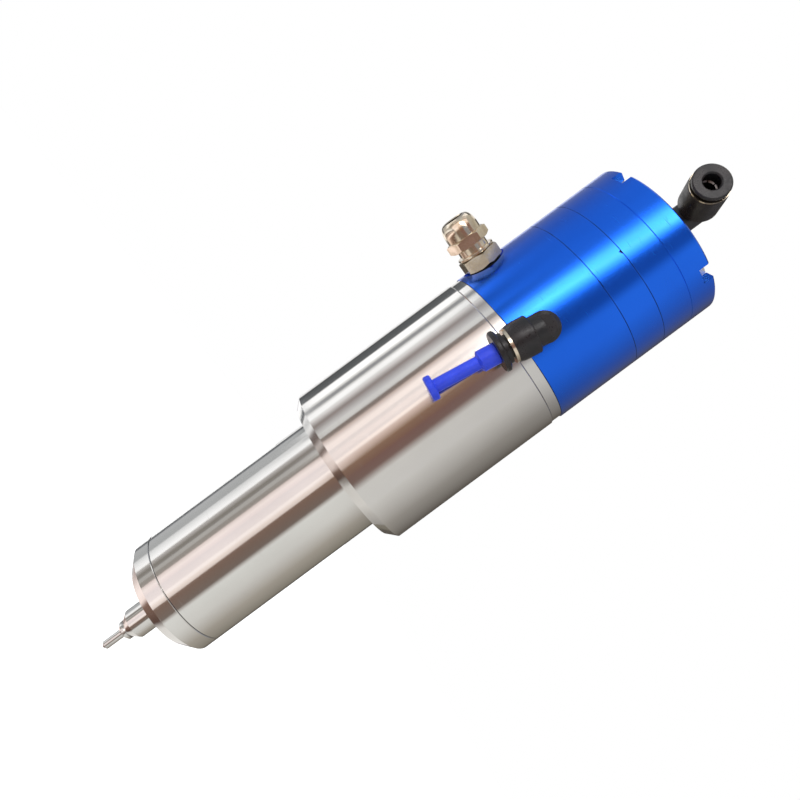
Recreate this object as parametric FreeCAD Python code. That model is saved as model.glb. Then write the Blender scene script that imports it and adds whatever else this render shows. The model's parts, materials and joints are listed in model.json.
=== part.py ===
import FreeCAD, Part
import math
import os

# A motor spindle with a long slim nose, a cylinder for the clamp and a rear air cylinder.
# Millimetres. Z runs along the turning axis, the tool is at the low end, and z = 0 is the
# middle of the clamping barrel. Angles round the axis start at -Y, where the side elbow
# stands, and grow towards +X.

Vec = FreeCAD.Vector
ORIGIN = Vec(0, 0, 0)
AXIS = Vec(0, 0, 1)
FULL_TURN = 360
HEX_SIDES = 6

# Outer body
clamp_radius = 31.0
clamp_length = 68.0
shoulder_chamfer = 3.3
nose_radius = 22.0
nose_length = 70.2
cap_length = 10.9
cap_chamfer = 4.6
bearing_plate_length = 4.0
bearing_plate_relief = 0.4
connector_length = 32.5
guide_ring_length = 12.0
cylinder_length = 12.0
rear_ring_length = 10.3
edge_break = 0.3
joint_break = 0.15
hex_corner_break = 0.6
body_wall = 5.5
shoulder_wall = 6.0
spigot_step = 3.0

# Castellated rear ring and the cover inside it
slot_width = 6.2
slot_depth = 4.3
slot_count = 4
slot_turn = 37.0
rim_wall = 3.8
cover_thickness = 4.5
cover_recess = 1.8
lip_width = 4.7
cover_screw_inset = 2.6
tie_screw_inset = 3.0
screw_radius = 1.25
screw_head_radius = 2.25
screw_head_height = 2.5
screw_socket_flats = 2.0
screw_socket_depth = 1.3
cover_screw_length = 12.0
tie_depth_in_barrel = 8.0

# Ball bearings, all of one size
bearing_bore = 7.5
bearing_outer = 16.0
bearing_width = 9.0
race_wall = 2.5
shield_thickness = 0.6
bearing_spacer = 4.0
front_bearing_back = 25.0

# Shaft and rotor
run_gap = 0.08
shaft_nose_radius = 5.65
shaft_nose_length = 12.9
shaft_cone_length = 2.5
shaft_cone_end_radius = 3.8
shaft_thread_radius = 6.5
shaft_radius = 8.6
shaft_collar_radius = 9.8
shaft_collar_length = 3.0
rotor_seat_radius = 9.0
rotor_radius = 14.0
rotor_overhang = 2.0
balance_ring_length = 4.0
balance_ring_radius = 13.0
air_gap = 0.5
stator_slots = 12
stator_slot_width = 4.0
stator_back = 4.0
winding_length = 8.5
winding_inner = 15.6
winding_clearance = 0.9
winding_front_gap = 0.8
winding_rear_gap = 2.5
winding_round = 2.5
slinger_radius = 10.4
slinger_length = 7.0
rear_bearing_inset = 4.0
rotor_nut_length = 5.0
rotor_nut_radius = 10.0
rotor_nut_flats = 18.0
shaft_tail = 2.0
sleeve_bore = 13.5
drawbar_bore = 2.8

# Rear bearing housing
carrier_radius = 18.0
carrier_lip_radius = 13.6
carrier_lip = 2.0
bearing_boss_radius = 20.0
bearing_boss_inset = 7.0
preload_length = 2.5
housing_lip = 2.0

# Drawbar, collet and tool shank
slide_gap = 0.05
stroke = 2.5
drawbar_waist_radius = 2.3
stud_radius = 1.6
stud_length = 6.0
collet_length = 23.0
collet_taper_length = 5.8
collet_mouth_radius = 3.2
collet_neck = 0.8
collet_head_radius = 3.6
collet_head_length = 2.0
collet_head_chamfer = 1.0
collet_slits = 4
collet_slit_width = 0.4
shank_radius = 3.175 / 2
shank_reach = 9.0
shank_in_collet = 15.0
shank_tip_radius = 0.5
shank_tip_length = 1.0
disc_count = 6
disc_height = 1.6
disc_thickness = 0.7
disc_inner = 3.0
disc_outer = 6.3
drawbar_nut_radius = 6.3
drawbar_nut_length = 6.0

# Air cylinder
cylinder_wall = 9.0
piston_thickness = 6.5
piston_travel = 3.0
piston_rod_radius = 5.0
piston_front_space = 5.0
piston_hub_radius = 8.0
piston_hub_slot = 3.0
guide_wall = 5.0
seal_height = 2.0
seal_wall = 1.8
spring_wire = 1.0
spring_coil_radius = 12.0
spring_turns = 2

# Cable gland
gland_angle = -76.0
gland_from_plate = 10.5
gland_seat_depth = 1.5
gland_flats = 14.0
gland_spot_face = 9.7
gland_seal_height = 0.9
gland_hex_height = 5.1
gland_hex_turn = -7.0
gland_thread_radius = 6.0
gland_thread_depth = 4.5
gland_neck_radius = 5.6
gland_neck_gap = 3.7
gland_nut_hex_height = 3.9
gland_dome_height = 7.1
gland_dome_straight = 3.3
gland_mouth_radius = 4.3
gland_mouth_lip = 0.5
gland_wall = 1.0
cable_radius = 3.25

# Push-in elbows for 6 mm tube. Lengths along the head are from the stem's axis.
tube_radius = 3.0
tube_gap = 0.05
thread_radius = 4.8
stem_bore = 2.0
stem_neck_radius = 3.6
grip_bore_radius = 4.6
grip_depth = 5.0
grip_seal_height = 1.3
cartridge_wall = 0.5
cartridge_skirt = 2.2
teeth_depth = 2.5
teeth_lean = 0.7
teeth_thickness = 0.4
teeth_count = 8
teeth_slit = 0.5
head_step_share = 0.7
elbow_top = 3.6
elbow_top_chamfer = 1.2
collar_thickness = 2.0
collar_travel = 0.7
collar_neck_radius = 5.3
side_stem_from_plate = 6.7
side_head_turn = 8.0
rear_head_turn = -12.0
side_elbow = {
    "seat": clamp_radius, "flats": 11.0, "flange": 2.4, "neck": 3.2, "thread": 5.2,
    "rise": 10.0, "column": 5.3, "shoulder": 3.65, "head": 6.5, "mouth": 11.4,
    "tube_stop": 3.0, "ring": 5.9, "ring_width": 1.0, "collar_gap": 2.2, "collar": 7.0,
}
rear_elbow = {
    "seat": 0.0, "flats": 12.0, "flange": 3.0, "neck": 6.0, "thread": 4.5,
    "rise": 21.0, "column": 5.3, "shoulder": 5.0, "head": 7.2, "mouth": 20.2,
    "tube_stop": 8.3, "ring": 6.9, "ring_width": 1.2, "collar_gap": 0.9, "collar": 6.7,
}
side_seal_radius = 5.4
side_seal_height = 1.0

# Blanking plug in the side elbow
plug_sleeve_radius = 3.55
plug_sleeve_length = 6.5
plug_rod_radius = 2.25
plug_rod_length = 15.4
plug_flange_radius = 4.2
plug_flange_length = 2.4
plug_chamfer = 0.8

# Places along the axis that follow from the sizes above
body_bore_radius = clamp_radius - body_wall
spigot_radius = nose_radius - spigot_step
cover_radius = clamp_radius - rim_wall
lip_radius = cover_radius - lip_width
cover_screw_circle = cover_radius - cover_screw_inset
cover_screw_turn = slot_turn + FULL_TURN / slot_count / 2
tie_circle = clamp_radius - tie_screw_inset
piston_bore = clamp_radius - cylinder_wall
clamp_rear = clamp_length / 2
shoulder_z = -clamp_length / 2 - shoulder_chamfer
cap_start = shoulder_z - nose_length
cap_face = cap_start - cap_length
plate_rear = clamp_rear + bearing_plate_length
gland_z = plate_rear + gland_from_plate
gland_seat = clamp_radius - gland_seat_depth
side_stem_z = plate_rear + side_stem_from_plate
connector_rear = plate_rear + connector_length
guide_rear = connector_rear + guide_ring_length
cylinder_rear = guide_rear + cylinder_length
rim_z = cylinder_rear + rear_ring_length
cover_rear = rim_z - cover_recess
cover_front = cover_rear - cover_thickness
front_bearing_rear = cap_start + front_bearing_back
second_bearing_start = front_bearing_rear - bearing_width
first_bearing_rear = second_bearing_start - bearing_spacer
first_bearing_start = first_bearing_rear - bearing_width
rear_bearing_start = clamp_rear - rear_bearing_inset
bearing_boss_start = clamp_rear - bearing_boss_inset
bearing_starts = [first_bearing_start, second_bearing_start, rear_bearing_start]
rear_bearing_end = rear_bearing_start + bearing_width
outer_race = bearing_outer - race_wall
inner_race = bearing_bore + race_wall
nose_mouth = cap_face - shaft_nose_length - shaft_cone_length
shaft_end = rear_bearing_end + rotor_nut_length + shaft_tail
stator_start = shoulder_z + shoulder_wall + winding_front_gap + winding_length
stator_end = bearing_boss_start - winding_rear_gap - winding_length
rotor_start = stator_start - rotor_overhang
rotor_end = stator_end + rotor_overhang
stator_bore = rotor_radius + air_gap
stator_slot_root = body_bore_radius - stator_back
winding_outer = body_bore_radius - winding_clearance
collet_front = nose_mouth - collet_neck - collet_head_length
collet_rear = collet_front + collet_length
drawbar_radius = drawbar_bore - slide_gap
nut_start = shaft_end + disc_count * disc_height
nut_end = nut_start + drawbar_nut_length
push_gap = piston_travel - stroke + slide_gap
piston_front = guide_rear + piston_front_space
piston_rear = piston_front + piston_thickness


def turned(outline):
    """Solid turned about the axis from the corners (radius, z) of its section."""
    corners = [Vec(radius, 0, z) for radius, z in outline]
    section = Part.Face(Part.makePolygon(corners + corners[:1]))
    return section.revolve(ORIGIN, AXIS, FULL_TURN)


def ring(inner, outer, low, high):
    """Plain ring with square edges."""
    return turned([(inner, low), (outer, low), (outer, high), (inner, high)])


def broken_ring(inner, outer, low, high, chamfer=edge_break):
    """Ring whose two outer edges are broken by a chamfer."""
    return turned([
        (inner, low), (outer - chamfer, low), (outer, low + chamfer),
        (outer, high - chamfer), (outer - chamfer, high), (inner, high),
    ])


def rod(radius, low, high):
    """Plain cylinder on the axis."""
    return Part.makeCylinder(radius, high - low, Vec(0, 0, low))


def hexagon(flats, low, high, turn=0):
    """Six-sided prism, with a corner at the angle turn from +X."""
    reach = flats / math.sqrt(3)
    corners = []
    for number in range(HEX_SIDES):
        angle = math.radians(turn + FULL_TURN / HEX_SIDES * number)
        corners.append(Vec(reach * math.cos(angle), reach * math.sin(angle), low))
    face = Part.Face(Part.makePolygon(corners + corners[:1]))
    return face.extrude(Vec(0, 0, high - low))


def nut_blank(flats, low, high, turn=0):
    """Hexagon whose corners are turned off at both ends."""
    corner = flats / math.sqrt(3)
    flat = flats / 2
    drop = (corner - flat) * hex_corner_break
    barrel = turned([
        (0, low), (flat, low), (corner, low + drop),
        (corner, high - drop), (flat, high), (0, high),
    ])
    return hexagon(flats, low, high, turn).common(barrel)


def outward(angle):
    """Direction away from the axis, at an angle from -Y towards +X."""
    turn = math.radians(angle)
    return Vec(math.sin(turn), -math.cos(turn), 0)


def placed(shape, point, stem, head):
    """Shape moved so that its own Z lies along stem and its own X along head."""
    moved = shape.copy()
    turn = FreeCAD.Rotation(head, stem.cross(head), stem, "ZXY")
    moved.Placement = FreeCAD.Placement(point, turn).multiply(shape.Placement)
    return moved


def on_circle(shape, circle, count, start=0):
    """Copies of a shape that stands on the axis, moved out to a circle."""
    copies = []
    for number in range(count):
        copy = shape.copy()
        copy.translate(outward(start + FULL_TURN / count * number) * circle)
        copies.append(copy)
    return copies


def cap_screw(seat, length):
    """Socket head screw whose head stands on z = seat and points to the rear."""
    top = seat + screw_head_height
    shape = rod(screw_radius, seat - length, seat).fuse(rod(screw_head_radius, seat, top))
    return shape.cut(hexagon(screw_socket_flats, top - screw_socket_depth, top))


def screw_hole(seat, length, top):
    """Room for a cap screw, open up to z = top."""
    return rod(screw_radius, seat - length, seat).fuse(rod(screw_head_radius, seat, top))


# Fixed body

def motor_barrel():
    """Clamping cylinder with its front wall, and threads for the long screws behind."""
    inside = shoulder_z + shoulder_wall
    shape = turned([
        (spigot_radius, shoulder_z), (clamp_radius - shoulder_chamfer, shoulder_z),
        (clamp_radius, shoulder_z + shoulder_chamfer), (clamp_radius, clamp_rear - edge_break),
        (clamp_radius - edge_break, clamp_rear), (body_bore_radius, clamp_rear),
        (body_bore_radius, inside), (spigot_radius, inside),
    ])
    hole = rod(screw_radius, clamp_rear - tie_depth_in_barrel, clamp_rear)
    return shape.cut(on_circle(hole, tie_circle, slot_count, slot_turn))


def front_sleeve():
    """Slim nose tube: bearing seat in front, spigot in the barrel's wall behind."""
    spigot_end = shoulder_z + shoulder_wall
    return turned([
        (bearing_outer, cap_start), (nose_radius - edge_break, cap_start),
        (nose_radius, cap_start + edge_break), (nose_radius, shoulder_z),
        (spigot_radius, shoulder_z), (spigot_radius, spigot_end),
        (sleeve_bore, spigot_end), (sleeve_bore, front_bearing_rear),
        (bearing_outer, front_bearing_rear),
    ])


def front_cap():
    """Chamfered end cap that closes on the shaft and holds the outer races in."""
    recess_end = first_bearing_start - slinger_length - run_gap
    seal_room = first_bearing_start - seal_height
    return turned([
        (shaft_nose_radius + run_gap, cap_face), (nose_radius - cap_chamfer, cap_face),
        (nose_radius, cap_face + cap_chamfer), (nose_radius, cap_start - edge_break),
        (nose_radius - edge_break, cap_start), (bearing_outer, cap_start),
        (bearing_outer, seal_room), (bearing_outer - seal_wall / 2, seal_room),
        (bearing_outer - seal_wall / 2, first_bearing_start),
        (sleeve_bore, first_bearing_start), (sleeve_bore, cap_start),
        (slinger_radius + run_gap, cap_start), (slinger_radius + run_gap, recess_end),
        (shaft_nose_radius + run_gap, recess_end),
    ])


def cap_seal():
    """Seal round the cap's spigot, against the first outer race."""
    return ring(bearing_outer - seal_wall / 2, bearing_outer,
                first_bearing_start - seal_height, first_bearing_start)


def bearing_plate():
    """Steel rear flange, just under the clamped size, with the rear bearing's boss."""
    lip_start = rear_bearing_end + carrier_lip + preload_length
    boss_end = lip_start + housing_lip
    radius = clamp_radius - bearing_plate_relief
    shape = broken_ring(bearing_boss_radius, radius, clamp_rear, plate_rear, joint_break)
    boss = turned([
        (carrier_radius, bearing_boss_start), (bearing_boss_radius, bearing_boss_start),
        (bearing_boss_radius, boss_end), (carrier_lip_radius, boss_end),
        (carrier_lip_radius, lip_start), (carrier_radius, lip_start),
    ])
    shape = shape.fuse(boss).removeSplitter()
    hole = rod(screw_radius, clamp_rear, plate_rear)
    return shape.cut(on_circle(hole, tie_circle, slot_count, slot_turn))


def bearing_carrier():
    """Sliding bush that holds the rear outer race and is pushed by the preload springs."""
    end = rear_bearing_end + carrier_lip
    return turned([
        (bearing_outer, rear_bearing_start), (carrier_radius, rear_bearing_start),
        (carrier_radius, end), (carrier_lip_radius, end),
        (carrier_lip_radius, rear_bearing_end), (bearing_outer, rear_bearing_end),
    ])


def connector_housing():
    """Coloured housing behind the motor, with seats for the gland and the side elbow."""
    shape = broken_ring(body_bore_radius, clamp_radius, plate_rear, connector_rear, joint_break)
    room = rod(gland_thread_radius, -clamp_radius, 0)
    room = room.fuse(rod(gland_spot_face, 0, clamp_radius))
    shape = shape.cut(placed(room, gland_point(), outward(gland_angle), AXIS))
    port = rod(thread_radius, -clamp_radius, 0)
    port = port.fuse(rod(side_seal_radius, -side_seal_height, clamp_radius))
    shape = shape.cut(placed(port, side_point(), outward(0), AXIS))
    hole = rod(screw_radius, plate_rear, connector_rear)
    return shape.cut(on_circle(hole, tie_circle, slot_count, slot_turn))


def guide_ring():
    """Coloured ring whose wall guides the piston rod and holds its seal."""
    bore = piston_rod_radius + slide_gap
    shape = broken_ring(bore, clamp_radius, connector_rear, guide_rear, joint_break)
    shape = shape.cut(rod(body_bore_radius, connector_rear, guide_rear - guide_wall))
    shape = shape.cut(rod(bore + seal_wall, guide_rear - seal_height, guide_rear))
    hole = rod(screw_radius, connector_rear, guide_rear)
    return shape.cut(on_circle(hole, tie_circle, slot_count, slot_turn))


def rod_seal():
    """Seal in the guide ring, round the piston rod."""
    bore = piston_rod_radius + slide_gap
    return ring(bore, bore + seal_wall, guide_rear - seal_height, guide_rear)


def cylinder_ring():
    """Coloured ring that is the wall of the air cylinder and seats both sets of screws."""
    shape = broken_ring(piston_bore, clamp_radius, guide_rear, cylinder_rear, joint_break)
    seat = cylinder_rear - screw_head_height
    tie = screw_hole(seat, cylinder_length, cylinder_rear)
    tie = tie.common(rod(clamp_radius, guide_rear, cylinder_rear))
    shape = shape.cut(on_circle(tie, tie_circle, slot_count, slot_turn))
    depth = cover_rear - screw_head_height - cover_screw_length
    thread = rod(screw_radius, depth, cylinder_rear)
    return shape.cut(on_circle(thread, cover_screw_circle, slot_count, cover_screw_turn))


def rear_ring():
    """Coloured end ring with spanner slots through its rim, and the lip under the cover."""
    rim_break = 2 * edge_break
    shape = turned([
        (lip_radius, cylinder_rear), (clamp_radius - joint_break, cylinder_rear),
        (clamp_radius, cylinder_rear + joint_break), (clamp_radius, rim_z - rim_break),
        (clamp_radius - rim_break, rim_z), (cover_radius, rim_z),
        (cover_radius, cover_front), (lip_radius, cover_front),
    ])
    length = clamp_radius - lip_radius
    cutter = Part.makeBox(slot_width, 2 * length, slot_depth,
                          Vec(-slot_width / 2, -length, rim_z - slot_depth))
    for number in range(slot_count):
        angle = slot_turn + FULL_TURN / slot_count * number
        tool = cutter.copy()
        tool.rotate(ORIGIN, AXIS, angle)
        tool.translate(outward(angle) * (lip_radius + length))
        shape = shape.cut(tool)
    thread = rod(screw_radius, cylinder_rear, cover_front)
    return shape.cut(on_circle(thread, cover_screw_circle, slot_count, cover_screw_turn))


def rear_cover():
    """Round aluminium cover with a threaded port in the middle and sunk screws."""
    shape = broken_ring(thread_radius, cover_radius, cover_front, cover_rear)
    hole = screw_hole(cover_rear - screw_head_height, cover_thickness, cover_rear)
    hole = hole.common(rod(clamp_radius, cover_front, cover_rear))
    return shape.cut(on_circle(hole, cover_screw_circle, slot_count, cover_screw_turn))


def cover_screws():
    """Four screws that hold the cover."""
    screw = cap_screw(cover_rear - screw_head_height, cover_screw_length)
    return on_circle(screw, cover_screw_circle, slot_count, cover_screw_turn)


def tie_screws():
    """Four long screws from the cylinder ring through every coloured ring to the barrel."""
    seat = cylinder_rear - screw_head_height
    screw = cap_screw(seat, seat - clamp_rear + tie_depth_in_barrel)
    return on_circle(screw, tie_circle, slot_count, slot_turn)


# Motor

def stator_core():
    """Laminated stator with open slots towards the rotor."""
    shape = ring(stator_bore, body_bore_radius, stator_start, stator_end)
    root = stator_slot_root - stator_bore
    cutter = Part.makeBox(stator_slot_width, 2 * root, stator_end - stator_start,
                          Vec(-stator_slot_width / 2, -root, stator_start))
    for number in range(stator_slots):
        angle = FULL_TURN / stator_slots * number
        tool = cutter.copy()
        tool.rotate(ORIGIN, AXIS, angle)
        tool.translate(outward(angle) * stator_bore)
        shape = shape.cut(tool)
    return shape


def winding(low, high):
    """End winding as a ring with round corners."""
    corner = winding_round
    return turned([
        (winding_inner, low), (winding_outer, low), (winding_outer, high - corner),
        (winding_outer - corner, high), (winding_inner + corner, high),
        (winding_inner, high - corner),
    ])


def windings():
    """The two end windings, rounded away from the core."""
    rear = winding(stator_end, stator_end + winding_length)
    front = rear.mirror(Vec(0, 0, (stator_start + stator_end) / 2), AXIS)
    return [front, rear]


def rotor_core():
    """Rotor body on its seat on the shaft."""
    return ring(rotor_seat_radius, rotor_radius, rotor_start, rotor_end)


def balance_rings():
    """A ring at each end of the rotor, from which metal is drilled to balance it."""
    front = ring(rotor_seat_radius, balance_ring_radius,
                 rotor_start - balance_ring_length, rotor_start)
    rear = ring(rotor_seat_radius, balance_ring_radius,
                rotor_end, rotor_end + balance_ring_length)
    return [front, rear]


# Bearings

def outer_rings():
    """Outer races of the three bearings, each with a shield on both sides."""
    shield = inner_race + run_gap
    rings = []
    for start in bearing_starts:
        end = start + bearing_width
        rings.append(turned([
            (shield, start), (bearing_outer, start), (bearing_outer, end), (shield, end),
            (shield, end - shield_thickness), (outer_race, end - shield_thickness),
            (outer_race, start + shield_thickness), (shield, start + shield_thickness),
        ]))
    return rings


def inner_rings():
    """Inner races of the three bearings."""
    return [ring(bearing_bore, inner_race, start, start + bearing_width)
            for start in bearing_starts]


# Shaft

def shaft():
    """Hollow shaft: tapered mouth, seats for the bearings and rotor, thread behind."""
    slinger_start = first_bearing_start - slinger_length
    collar_end = front_bearing_rear + shaft_collar_length
    stop_end = rotor_start - balance_ring_length
    taper_end = nose_mouth + collet_taper_length
    return turned([
        (collet_mouth_radius + slide_gap, nose_mouth), (shaft_cone_end_radius, nose_mouth),
        (shaft_nose_radius, nose_mouth + shaft_cone_length),
        (shaft_nose_radius, slinger_start), (shaft_thread_radius, slinger_start),
        (shaft_thread_radius, first_bearing_start), (bearing_bore, first_bearing_start),
        (bearing_bore, front_bearing_rear), (shaft_collar_radius, front_bearing_rear),
        (shaft_collar_radius, collar_end), (shaft_radius, collar_end),
        (shaft_radius, stop_end - shaft_collar_length),
        (shaft_collar_radius, stop_end - shaft_collar_length),
        (shaft_collar_radius, stop_end), (rotor_seat_radius, stop_end),
        (rotor_seat_radius, rotor_end + balance_ring_length),
        (shaft_radius, rotor_end + balance_ring_length), (shaft_radius, rear_bearing_start),
        (bearing_bore, rear_bearing_start), (bearing_bore, rear_bearing_end),
        (shaft_thread_radius, rear_bearing_end), (shaft_thread_radius, shaft_end),
        (drawbar_bore, shaft_end), (drawbar_bore, taper_end),
    ])


def slinger():
    """Threaded ring in the cap's recess that clamps the inner races."""
    start = first_bearing_start - slinger_length
    return turned([
        (shaft_thread_radius, start), (slinger_radius, start), (slinger_radius, cap_start),
        (inner_race, cap_start), (inner_race, first_bearing_start),
        (shaft_thread_radius, first_bearing_start),
    ])


def rotor_nut():
    """Round nut behind the rear bearing, with two spanner flats."""
    end = rear_bearing_end + rotor_nut_length
    nut = broken_ring(shaft_thread_radius, rotor_nut_radius, rear_bearing_end, end)
    keep = Part.makeBox(4 * rotor_nut_radius, rotor_nut_flats, rotor_nut_length,
                        Vec(-2 * rotor_nut_radius, -rotor_nut_flats / 2, rear_bearing_end))
    return nut.common(keep)


# Drawbar, collet and tool shank

def cone_washers(inner, outer, low, count, height, thickness):
    """Stack of cone washers, laid edge to edge in turn."""
    washers = []
    for number in range(count):
        base = low + number * height
        inner_lift, outer_lift = (0, height - thickness)
        if number % 2:
            inner_lift, outer_lift = outer_lift, inner_lift
        washers.append(turned([
            (inner, base + inner_lift), (outer, base + outer_lift),
            (outer, base + outer_lift + thickness), (inner, base + inner_lift + thickness),
        ]))
    return washers


def drawbar():
    """Rod through the shaft: stud in the collet, guides at both ends, thread behind."""
    front_guide = collet_rear + 4 * stud_length
    rear_guide = shaft_end - 4 * stud_length
    return turned([
        (0, collet_rear - stud_length), (stud_radius, collet_rear - stud_length),
        (stud_radius, collet_rear), (drawbar_radius, collet_rear),
        (drawbar_radius, front_guide), (drawbar_waist_radius, front_guide),
        (drawbar_waist_radius, rear_guide), (drawbar_radius, rear_guide),
        (drawbar_radius, nut_end), (0, nut_end),
    ])


def drawbar_nut():
    """Round nut on which the spring washers and, when it opens, the piston press."""
    return broken_ring(drawbar_radius, drawbar_nut_radius, nut_start, nut_end)


def collet():
    """Slit collet with a shallow taper and a chamfered head outside the shaft."""
    taper_end = nose_mouth + collet_taper_length
    head_rear = nose_mouth - collet_neck
    shape = turned([
        (stud_radius, collet_front),
        (collet_head_radius - collet_head_chamfer, collet_front),
        (collet_head_radius, collet_front + collet_head_chamfer),
        (collet_head_radius, head_rear), (collet_mouth_radius, head_rear),
        (collet_mouth_radius, nose_mouth), (drawbar_radius, taper_end),
        (drawbar_radius, collet_rear), (stud_radius, collet_rear),
    ])
    slit_length = shank_in_collet + 1
    slit = Part.makeBox(collet_slit_width, collet_head_radius, slit_length,
                        Vec(-collet_slit_width / 2, -collet_head_radius, collet_front))
    for number in range(collet_slits):
        tool = slit.copy()
        tool.rotate(ORIGIN, AXIS, FULL_TURN / collet_slits * number)
        shape = shape.cut(tool)
    return shape


def tool_pin():
    """Plain shank held in the collet, with a blunt point."""
    tip = collet_front - shank_reach
    return turned([
        (0, tip), (shank_tip_radius, tip), (shank_radius, tip + shank_tip_length),
        (shank_radius, collet_front + shank_in_collet), (0, collet_front + shank_in_collet),
    ])


# Air cylinder

def piston():
    """Piston with its seal groove, a push rod in front and a slotted hub behind."""
    radius = piston_bore - run_gap
    middle = (piston_front + piston_rear) / 2
    root = piston_bore - slide_gap - seal_wall
    hub_end = cover_front - slide_gap
    shape = turned([
        (0, nut_end + push_gap), (piston_rod_radius, nut_end + push_gap),
        (piston_rod_radius, piston_front), (radius, piston_front),
        (radius, middle - seal_height / 2), (root, middle - seal_height / 2),
        (root, middle + seal_height / 2), (radius, middle + seal_height / 2),
        (radius, piston_rear), (piston_hub_radius, piston_rear),
        (piston_hub_radius, hub_end), (0, hub_end),
    ])
    slot = Part.makeBox(4 * piston_hub_radius, piston_hub_slot, hub_end - piston_rear,
                        Vec(-2 * piston_hub_radius, -piston_hub_slot / 2, piston_rear))
    return shape.cut(slot)


def piston_seal():
    """Seal in the groove of the piston."""
    outer = piston_bore - slide_gap
    middle = (piston_front + piston_rear) / 2
    return ring(outer - seal_wall, outer, middle - seal_height / 2, middle + seal_height / 2)


def return_spring():
    """Coil of square wire between the guide ring's wall and the piston."""
    half = spring_wire / 2
    length = piston_front - guide_rear - spring_wire
    start = guide_rear + half
    path = Part.makeHelix(length / spring_turns, length, spring_coil_radius)
    path.translate(Vec(0, 0, start))
    corners = [
        Vec(spring_coil_radius - half, 0, start - half), Vec(spring_coil_radius + half, 0, start - half),
        Vec(spring_coil_radius + half, 0, start + half), Vec(spring_coil_radius - half, 0, start + half),
    ]
    section = Part.makePolygon(corners + corners[:1])
    return Part.Wire(path.Edges).makePipeShell([section], True, True)


# Cable gland, in its own frame: Z out of the housing from the seat

def gland_point():
    """Middle of the gland's seat."""
    return outward(gland_angle) * gland_seat + Vec(0, 0, gland_z)


def gland_placed(shape):
    """Gland piece moved to its seat."""
    return placed(shape, gland_point(), outward(gland_angle), AXIS)


gland_hex_top = gland_seal_height + gland_hex_height
gland_nut_low = gland_hex_top + gland_neck_gap
gland_nut_step = gland_nut_low + gland_nut_hex_height
gland_top = gland_nut_step + gland_dome_height
gland_neck_top = gland_nut_step
gland_insert_low = gland_nut_low


def gland_seal():
    """Flat seal between the gland's hexagon and the housing."""
    return ring(gland_thread_radius, gland_flats / 2 - gland_wall / 2, 0, gland_seal_height)


def gland_body():
    """Threaded body with its hexagon, hollow for the cable."""
    bore = gland_thread_radius - 2 * gland_wall
    shape = rod(gland_thread_radius, -gland_thread_depth, gland_seal_height)
    shape = shape.fuse(nut_blank(gland_flats, gland_seal_height, gland_hex_top, gland_hex_turn))
    shape = shape.fuse(rod(gland_neck_radius, gland_hex_top, gland_neck_top))
    shape = shape.cut(rod(bore, -gland_thread_depth, gland_insert_low))
    return shape.cut(rod(gland_neck_radius - gland_wall, gland_insert_low, gland_neck_top))


def gland_insert():
    """Rubber bush that grips the cable."""
    outer = gland_neck_radius - gland_wall
    top = gland_top - gland_dome_straight
    return turned([
        (cable_radius, gland_insert_low), (outer, gland_insert_low), (outer, gland_neck_top),
        (gland_mouth_radius, top), (cable_radius, top),
    ])


def gland_nut():
    """Domed nut: hexagon below, round dome above, open for the cable."""
    radius = gland_flats / 2
    shoulder = gland_nut_step + gland_dome_straight
    rim = gland_mouth_radius + gland_mouth_lip
    halfway = math.sqrt(0.5)
    bend = Part.Arc(
        Vec(radius, 0, shoulder),
        Vec(rim + halfway * (radius - rim), 0, shoulder + halfway * (gland_top - shoulder)),
        Vec(rim, 0, gland_top),
    ).toShape()
    corners = [
        Vec(rim, 0, gland_top),
        Vec(gland_mouth_radius, 0, gland_top - gland_mouth_lip),
        Vec(gland_mouth_radius, 0, gland_top - gland_dome_straight),
        Vec(gland_neck_radius, 0, gland_neck_top),
        Vec(gland_neck_radius, 0, gland_nut_low),
        Vec(radius, 0, gland_nut_low),
        Vec(radius, 0, shoulder),
    ]
    side = Part.makePolygon(corners)
    section = Part.Face(Part.Wire([bend] + side.Edges))
    dome = section.revolve(ORIGIN, AXIS, FULL_TURN)
    flats = nut_blank(gland_flats, gland_nut_low, gland_nut_step, 30)
    flats = flats.cut(rod(gland_neck_radius, gland_nut_low, gland_nut_step))
    return dome.fuse(flats).removeSplitter()


# Push-in elbows, in their own frame: Z along the stem from its seat, X along the head

def along_head(outline, elbow):
    """Solid turned about the head's axis from corners (radius, distance from the stem)."""
    shape = turned(outline)
    shape.rotate(ORIGIN, Vec(0, 1, 0), 90)
    shape.translate(Vec(0, 0, elbow["rise"]))
    return shape


def elbow_stem(elbow, turn):
    """Metal stem: thread below, hexagon on the seat, neck on which the elbow turns."""
    top = elbow["flange"] + elbow["neck"]
    shape = rod(thread_radius, -elbow["thread"], 0)
    shape = shape.fuse(nut_blank(elbow["flats"], 0, elbow["flange"], turn))
    shape = shape.fuse(rod(stem_neck_radius, elbow["flange"], top))
    return shape.cut(rod(stem_bore, -elbow["thread"], top))


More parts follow.
